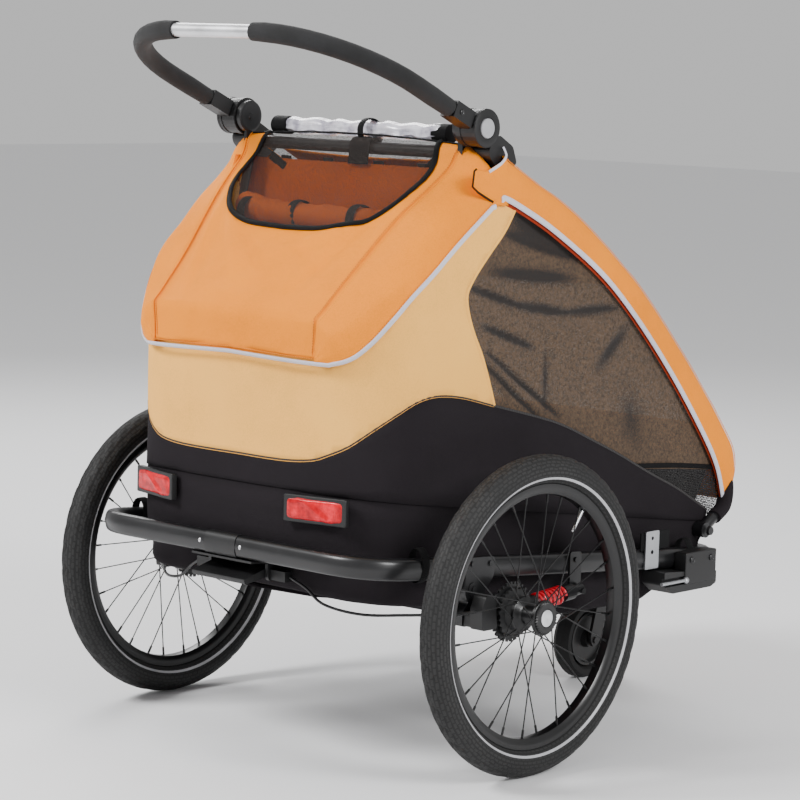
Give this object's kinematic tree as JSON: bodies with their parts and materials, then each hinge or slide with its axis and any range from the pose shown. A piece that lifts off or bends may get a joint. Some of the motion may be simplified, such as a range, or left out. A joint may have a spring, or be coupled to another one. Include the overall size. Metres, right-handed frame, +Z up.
{
  "type": "child bicycle trailer",
  "caption": "Two-seat child bicycle trailer in stroller mode: folding frame, fabric cabin, sprung wheels, front caster and a tilting push handle.",
  "frame": {"origin": "on the ground, under the centre of the footprint's bounding box", "axes": "+Z up, the trailer travels towards -Y, its right-hand side is -X"},
  "size_m": [0.8556, 1.0292, 1.1418],
  "materials": {
    "black_tube": "satin black powder coat on aluminium tube",
    "rim_black": "black anodised rim, hub and spokes",
    "bare_steel": "zinc plated steel",
    "silver_tube": "bare satin aluminium",
    "red_spring": "red powder coat on spring steel",
    "black_plastic": "fine-grained moulded black plastic",
    "cable_sheath": "smooth black cable sheath",
    "grey_plastic": "light grey moulded plastic",
    "tyre_rubber": "black tyre rubber with a reflective stripe on the large tyres",
    "grip_foam": "soft black closed-cell grip foam",
    "reflector_lens": "faceted red reflector lens",
    "orange_fabric": "coated orange canvas with silver piping",
    "peach_fabric": "pale orange woven canvas",
    "black_fabric": "black woven canvas",
    "mesh_fabric": "dark fine mesh",
    "clear_sheet": "rolled-up clear film"
  },
  "bodies": {
    "chassis": {"frame_loop_right": "black_tube", "frame_loop_left": "black_tube", "bumper_sleeve": "black_tube", "arm_bracket_right": "black_tube", "arm_bracket_left": "black_tube", "spring_hanger_right": "black_tube", "spring_hanger_left": "black_tube", "suspension_spring_right": "red_spring", "suspension_spring_left": "red_spring", "caster_mount": "black_plastic", "tub_shell": "black_fabric", "reflector_right": "reflector_lens", "reflector_left": "reflector_lens", "seat_frame": "black_tube", "seat_cushion": "black_fabric", "seat_back": "black_fabric", "side_panel_right": "peach_fabric", "side_panel_left": "peach_fabric", "side_window_right": "mesh_fabric", "side_window_left": "mesh_fabric", "rear_flap": "orange_fabric", "rear_window": "mesh_fabric", "rear_panel": "peach_fabric", "upright_catch_right": "black_plastic", "upright_catch_left": "black_plastic", "brake_bracket": "black_plastic", "brake_cable_right": "cable_sheath", "brake_cable_left": "cable_sheath", "drawbar_socket": "black_plastic", "drawbar_strap": "bare_steel"},
    "hoop": {"front_hoop": "black_tube", "handle_pivot_housing_right": "black_plastic", "handle_pivot_housing_left": "black_plastic", "hood": "orange_fabric"},
    "uprights": {"rear_uprights": "black_tube", "rain_cover_roll": "clear_sheet"},
    "push_handle": {"handlebar_tube": "silver_tube", "grip_foam_right": "grip_foam", "grip_foam_left": "grip_foam", "handle_knuckle_right": "black_plastic", "handle_knuckle_left": "black_plastic"},
    "caster_swivel": {"caster_fork": "black_plastic"},
    "caster_roller": {"caster_wheel": "black_plastic", "caster_tyre": "tyre_rubber"},
    "pedal": {"brake_pedal": "black_plastic"},
    "lock_pin": {"drawbar_lock_pin": "bare_steel"},
    "arm_right": {"swing_arm_right": "black_tube", "brake_lock_right": "black_plastic"},
    "wheel_right": {"tyre_right": "tyre_rubber", "rim_right": "rim_black", "hub_and_spokes_right": "rim_black"},
    "hub_button_right": {"hub_release_button_right": "silver_tube"},
    "pivot_button_right": {"handle_pivot_button_right": "grey_plastic"},
    "arm_left": {"swing_arm_left": "black_tube", "brake_lock_left": "black_plastic"},
    "wheel_left": {"tyre_left": "tyre_rubber", "rim_left": "rim_black", "hub_and_spokes_left": "rim_black"},
    "hub_button_left": {"hub_release_button_left": "silver_tube"},
    "pivot_button_left": {"handle_pivot_button_left": "grey_plastic"}
  },
  "joints": [
    {"name": "hoop_fold", "type": "hinge", "parent": "chassis", "child": "hoop", "pos_m": [0, -0.38261, 0.312], "axis": [-1, 0, 0], "range_deg": [0, 37.5], "deforming": ["seat_back", "side_panel_right", "side_panel_left", "side_window_right", "side_window_left", "rear_flap", "rear_window", "rear_panel"]},
    {"name": "uprights_fold", "type": "hinge", "parent": "hoop", "child": "uprights", "pos_m": [0, 0.18918, 0.9902], "axis": [-1, 0, 0], "range_deg": [0, 57.5]},
    {"name": "handle_tilt", "type": "hinge", "parent": "hoop", "child": "push_handle", "pos_m": [0, 0.18918, 0.9902], "axis": [1, 0, 0], "range_deg": [-60, 120]},
    {"name": "caster_swivel", "type": "hinge", "parent": "chassis", "child": "caster_swivel", "pos_m": [0, -0.48962, 0.19], "axis": [0, 0, 1], "continuous": true},
    {"name": "caster_roll", "type": "hinge", "parent": "caster_swivel", "child": "caster_roller", "pos_m": [0, -0.44461, 0.07], "axis": [1, 0, 0], "continuous": true},
    {"name": "brake_pedal_press", "type": "hinge", "parent": "chassis", "child": "pedal", "pos_m": [0, 0.41038, 0.299], "axis": [-1, 0, 0], "range_deg": [0, 22]},
    {"name": "drawbar_pin_pull", "type": "slide", "parent": "chassis", "child": "lock_pin", "axis": [0, -1, 0], "range_m": [0, 0.014], "stiffness_N_per_m": 500},
    {"name": "suspension_right", "type": "hinge", "parent": "chassis", "child": "arm_right", "pos_m": [-0.312, 0.24138, 0.288], "axis": [-1, 0, 0], "range_deg": [-1.5, 9], "stiffness_Nm_per_rad": 110, "springref_deg": -2.29, "deforming": ["suspension_spring_right", "brake_cable_right"]},
    {"name": "wheel_right_spin", "type": "hinge", "parent": "arm_right", "child": "wheel_right", "pos_m": [-0.3995, 0.18238, 0.25], "axis": [1, 0, 0], "continuous": true},
    {"name": "hub_button_right_press", "type": "slide", "parent": "wheel_right", "child": "hub_button_right", "axis": [1, 0, 0], "range_m": [0, 0.003], "stiffness_N_per_m": 600},
    {"name": "pivot_button_right_press", "type": "slide", "parent": "hoop", "child": "pivot_button_right", "axis": [1, 0, 0], "range_m": [0, 0.004], "stiffness_N_per_m": 600},
    {"name": "suspension_left", "type": "hinge", "parent": "chassis", "child": "arm_left", "pos_m": [0.312, 0.24138, 0.288], "axis": [-1, 0, 0], "range_deg": [-1.5, 9], "stiffness_Nm_per_rad": 110, "springref_deg": -2.29, "deforming": ["suspension_spring_left", "brake_cable_left"]},
    {"name": "wheel_left_spin", "type": "hinge", "parent": "arm_left", "child": "wheel_left", "pos_m": [0.3995, 0.18238, 0.25], "axis": [1, 0, 0], "continuous": true},
    {"name": "hub_button_left_press", "type": "slide", "parent": "wheel_left", "child": "hub_button_left", "axis": [-1, 0, 0], "range_m": [0, 0.003], "stiffness_N_per_m": 600},
    {"name": "pivot_button_left_press", "type": "slide", "parent": "hoop", "child": "pivot_button_left", "axis": [-1, 0, 0], "range_m": [0, 0.004], "stiffness_N_per_m": 600}
  ],
  "couplings": [
    {"joint": "uprights_fold", "follows": "hoop_fold", "ratio": 1.516}
  ]
}
